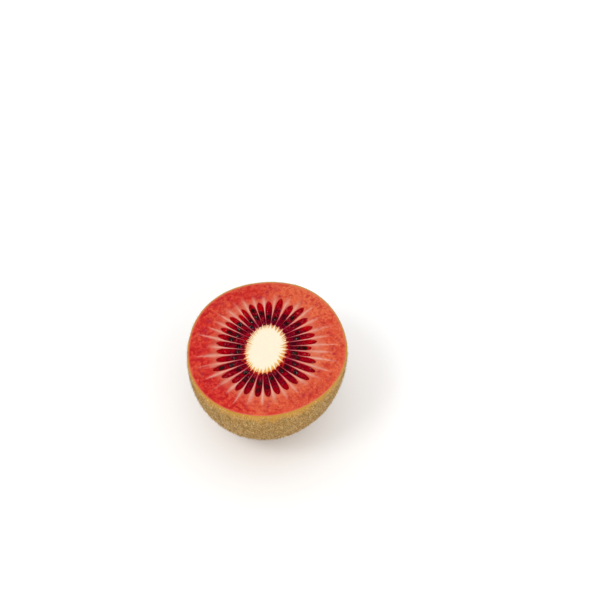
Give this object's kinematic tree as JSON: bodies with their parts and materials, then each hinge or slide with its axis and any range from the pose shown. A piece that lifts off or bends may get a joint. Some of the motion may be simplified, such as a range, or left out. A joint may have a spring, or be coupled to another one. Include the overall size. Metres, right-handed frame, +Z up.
{
  "type": "kiwi fruit half",
  "caption": "Half of a red-fleshed kiwi fruit cut across the middle, resting cut side up on its blunt end, with a pale core, radial seed chambers and fused seeds.",
  "frame": {"origin": "on the resting plane, under the middle of the outline", "axes": "+Z up, out of the cut face; +X to the right and +Y away as the picture shows the half; the outline is longest along +Y"},
  "size_m": [0.0472, 0.0484, 0.0313],
  "materials": {
    "kiwi_flesh": null
  },
  "bodies": {
    "root": {"kiwi_half": "kiwi_flesh"}
  },
  "joints": []
}
